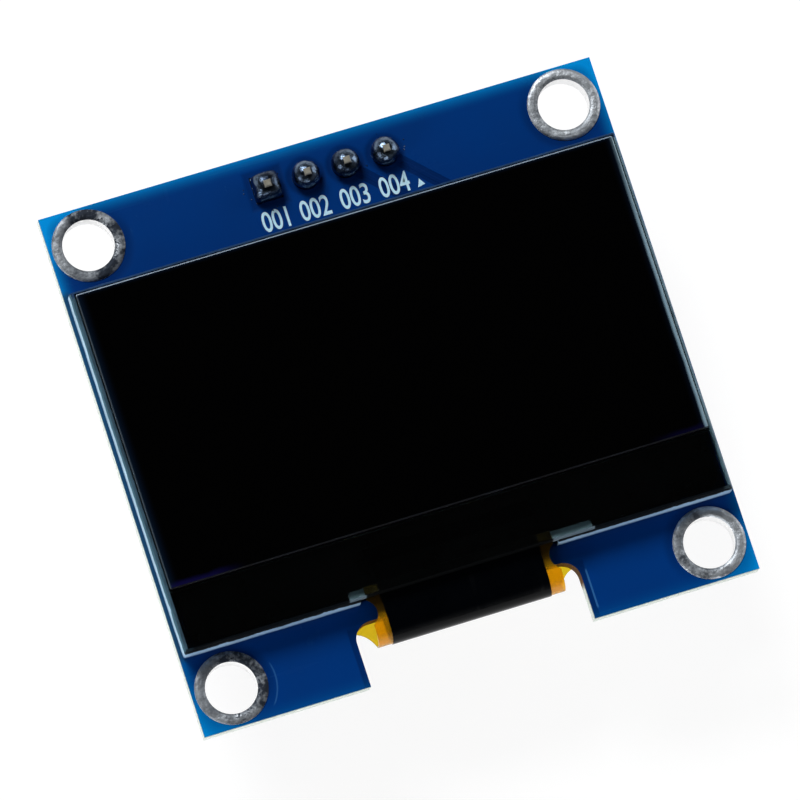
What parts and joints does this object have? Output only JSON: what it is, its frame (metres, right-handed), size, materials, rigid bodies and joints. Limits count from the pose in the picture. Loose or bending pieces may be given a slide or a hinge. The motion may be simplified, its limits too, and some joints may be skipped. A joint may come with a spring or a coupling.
{
  "type": "oled display module",
  "caption": "Small rectangular display module: black glass screen on a blue board with tinned mounting holes, a pin header soldered from behind and a flex cable folded through a notch.",
  "frame": {"origin": "centre of the four mounting holes, on the board's back face", "axes": "+X along the header row, first (square) pad on the -X side; +Y towards the header edge; +Z out of the display"},
  "size_m": [0.0354, 0.0334, 0.0117],
  "materials": {
    "board_blue": "glass-fibre board under deep blue solder mask",
    "tinned_copper": "hot-air-levelled tin, mottled grey",
    "solder": "bright solder, grey",
    "gold_plate": "gold flash over brass",
    "black_nylon": "moulded, satin",
    "foam_tape": "white double-sided tape",
    "clear_adhesive": "pale translucent bead",
    "display_glass": "clear float glass, cut edges",
    "polarizer_black": "smooth, almost black",
    "drying_sheet": "matt pale sheet",
    "epoxy_seal": "cured epoxy",
    "light_film": "thin mirror-like film",
    "silicon": "polished silicon",
    "black_tape": "light-tight tape",
    "clear_resin": "cured resin, cloudy",
    "amber_film": "polyimide film, amber",
    "black_film": "black cover film",
    "black_epoxy": "moulded package",
    "capacitor_ceramic": "tan ceramic with tinned ends",
    "resistor_black": "black glaze with tinned ends"
  },
  "bodies": {
    "root": {"pcb": "board_blue", "mounting_ring_1": "tinned_copper", "header_pad_1": "tinned_copper", "header_pin_1": "gold_plate", "solder_joint_1": "solder", "mounting_ring_2": "tinned_copper", "header_pad_2": "tinned_copper", "header_pin_2": "gold_plate", "solder_joint_2": "solder", "mounting_ring_3": "tinned_copper", "header_pad_3": "tinned_copper", "header_pin_3": "gold_plate", "solder_joint_3": "solder", "mounting_ring_4": "tinned_copper", "header_pad_4": "tinned_copper", "header_pin_4": "gold_plate", "solder_joint_4": "solder", "header_strip": "black_nylon", "mounting_tape": "foam_tape", "adhesive_bead": "clear_adhesive", "rear_glass": "display_glass", "desiccant": "drying_sheet", "edge_seal": "epoxy_seal", "oled_film": "light_film", "front_glass": "display_glass", "polarizer": "polarizer_black", "driver_chip": "silicon", "ledge_tape": "black_tape", "bond_resin_left": "clear_resin", "bond_resin_right": "clear_resin", "flex_cable": "amber_film", "flex_coverlay": "black_film", "flex_contacts": "tinned_copper", "flex_pads": "tinned_copper", "flex_solder": "solder", "regulator_body": "black_epoxy", "regulator_leads": "tinned_copper", "capacitor_1": "capacitor_ceramic", "capacitor_2": "capacitor_ceramic", "capacitor_3": "capacitor_ceramic", "capacitor_4": "capacitor_ceramic", "capacitor_5": "capacitor_ceramic", "capacitor_6": "capacitor_ceramic", "resistor_1": "resistor_black", "resistor_2": "resistor_black", "resistor_3": "resistor_black", "resistor_4": "resistor_black", "resistor_5": "resistor_black", "resistor_6": "resistor_black", "resistor_7": "resistor_black", "chip_pads": "tinned_copper", "chip_solder": "solder"}
  },
  "joints": []
}
